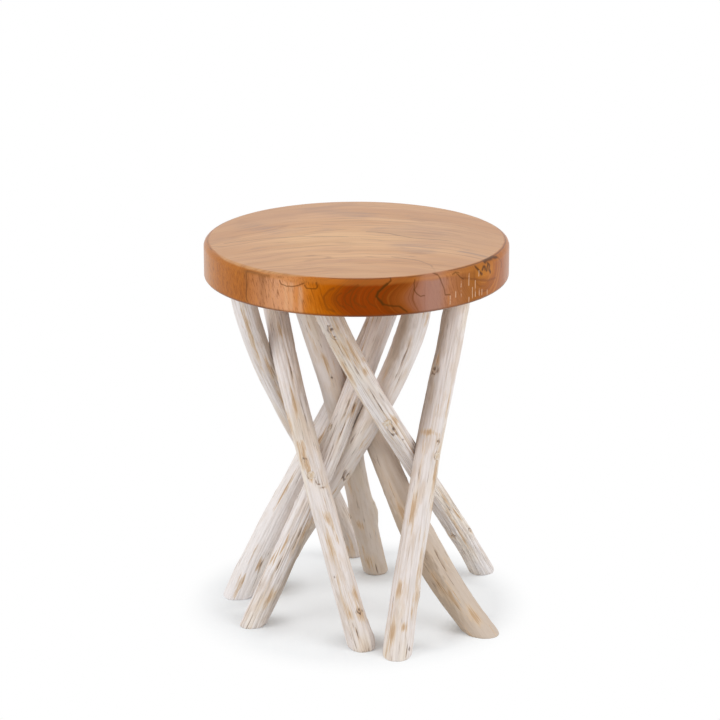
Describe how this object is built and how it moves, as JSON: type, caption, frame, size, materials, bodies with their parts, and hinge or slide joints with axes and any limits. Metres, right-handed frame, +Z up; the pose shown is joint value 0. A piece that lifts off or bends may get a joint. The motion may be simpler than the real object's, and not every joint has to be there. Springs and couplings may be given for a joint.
{
  "type": "side table",
  "caption": "Round side table: a thick teak slab top on whitewashed branch legs that lean across one another, dowelled into the slab and screwed together where they cross.",
  "frame": {"origin": "the slab's axis at floor level", "axes": "+Z up, through the middle of the slab; -Y towards the pictured front; +X to the right as seen from the front"},
  "size_m": [0.35, 0.35, 0.45],
  "materials": {
    "slab": "clear satin lacquer on teak, with brown figure",
    "branch": "thin whitewash over debarked branch wood, worn through to tan in streaks",
    "dowel": "bare hardwood",
    "screw": "zinc-plated steel",
    "plug": "whitewashed wood, worn to tan at its edge"
  },
  "bodies": {
    "root": {"dowel_back": "dowel", "dowel_back_inner": "dowel", "dowel_front_left": "dowel", "dowel_front_right": "dowel", "dowel_left": "dowel", "dowel_left_front": "dowel", "dowel_left_inner": "dowel", "dowel_right_back": "dowel", "dowel_right_front": "dowel", "leg_back": "branch", "leg_back_inner": "branch", "leg_front_left": "branch", "leg_front_right": "branch", "leg_left": "branch", "leg_left_front": "branch", "leg_left_inner": "branch", "leg_right_back": "branch", "leg_right_front": "branch", "plug_back_inner_to_left_front": "plug", "plug_back_to_left": "plug", "plug_front_left_to_left_front": "plug", "plug_front_right_to_right_back": "plug", "plug_left_front_to_left_inner": "plug", "plug_left_to_right_front": "plug", "plug_right_back_to_left_inner": "plug", "plug_right_front_to_back_inner": "plug", "plug_right_front_to_left_inner": "plug", "screw_back_inner_to_left_front": "screw", "screw_back_to_left": "screw", "screw_front_left_to_left_front": "screw", "screw_front_right_to_right_back": "screw", "screw_left_front_to_left_inner": "screw", "screw_left_to_right_front": "screw", "screw_right_back_to_left_inner": "screw", "screw_right_front_to_back_inner": "screw", "screw_right_front_to_left_inner": "screw", "top_slab": "slab"}
  },
  "joints": []
}
